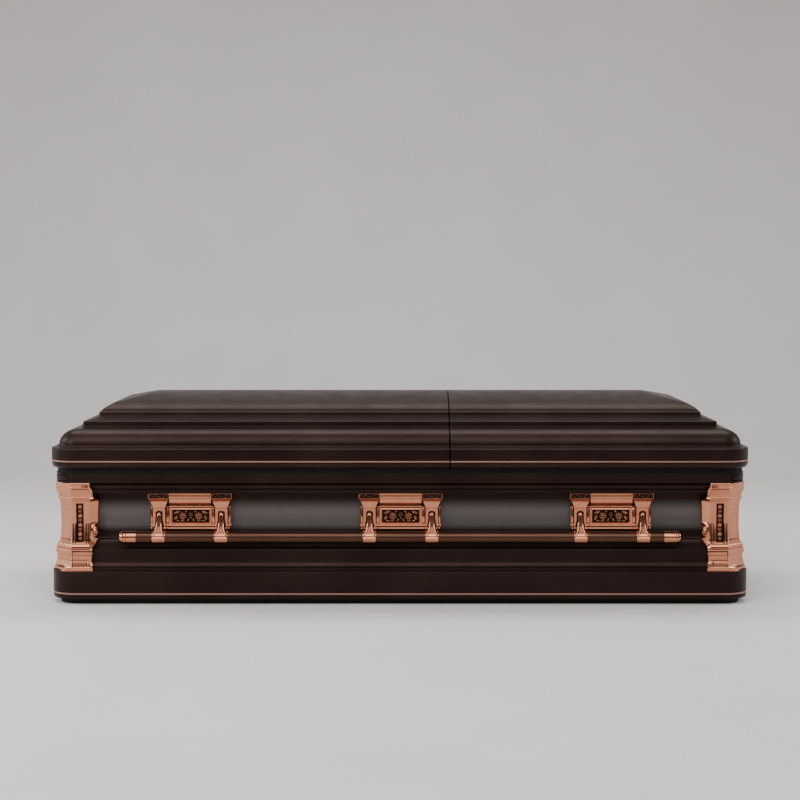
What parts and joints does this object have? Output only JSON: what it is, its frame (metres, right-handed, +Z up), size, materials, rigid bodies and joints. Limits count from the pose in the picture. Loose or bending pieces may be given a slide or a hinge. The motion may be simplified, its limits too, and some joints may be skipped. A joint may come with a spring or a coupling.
{
  "type": "half-lid burial casket",
  "caption": "Hollow moulded metal burial casket with stepped split lids, corner ornaments and a swing bar along the front and the back.",
  "frame": {"origin": "centre of the underside, on the floor", "axes": "+X along the length towards the short lid, +Y from the front to the back, +Z up"},
  "size_m": [2.136, 0.7208, 0.6315],
  "materials": {
    "dark_enamel": "dark brown metallic enamel, glossy",
    "brushed_panel": "brushed, shaded dark brown towards its top and bottom edges",
    "gasket_rubber": "matt black",
    "bar_bronze": "satin dark bronze",
    "copper_plate": "polished rose copper plate"
  },
  "bodies": {
    "casket": {"back_plate_left": "copper_plate", "back_plate_middle": "copper_plate", "back_plate_right": "copper_plate", "back_rod_left": "copper_plate", "back_rod_middle": "copper_plate", "back_rod_right": "copper_plate", "base_moulding": "dark_enamel", "bottom_pan": "dark_enamel", "corner_back_left": "copper_plate", "corner_back_right": "copper_plate", "corner_front_left": "copper_plate", "corner_front_right": "copper_plate", "front_plate_left": "copper_plate", "front_plate_middle": "copper_plate", "front_plate_right": "copper_plate", "front_rod_left": "copper_plate", "front_rod_middle": "copper_plate", "front_rod_right": "copper_plate", "gasket": "gasket_rubber", "lid_long": "dark_enamel", "lid_short": "dark_enamel", "side_panel": "brushed_panel", "top_rail": "dark_enamel"},
    "front_handle": {"front_arm_left_1": "copper_plate", "front_arm_left_2": "copper_plate", "front_arm_middle_1": "copper_plate", "front_arm_middle_2": "copper_plate", "front_arm_right_1": "copper_plate", "front_arm_right_2": "copper_plate", "front_bar": "bar_bronze", "front_bar_cap_left": "copper_plate", "front_bar_cap_right": "copper_plate"},
    "back_handle": {"back_arm_left_1": "copper_plate", "back_arm_left_2": "copper_plate", "back_arm_middle_1": "copper_plate", "back_arm_middle_2": "copper_plate", "back_arm_right_1": "copper_plate", "back_arm_right_2": "copper_plate", "back_bar": "bar_bronze", "back_bar_cap_left": "copper_plate", "back_bar_cap_right": "copper_plate"}
  },
  "joints": [
    {"name": "front_bar_swing", "type": "hinge", "parent": "casket", "child": "front_handle", "pos_m": [0, -0.324, 0.2296], "axis": [-1, 0, 0], "range_deg": [0, 30]},
    {"name": "back_bar_swing", "type": "hinge", "parent": "casket", "child": "back_handle", "pos_m": [0, 0.324, 0.2296], "axis": [1, 0, 0], "range_deg": [0, 30]}
  ]
}
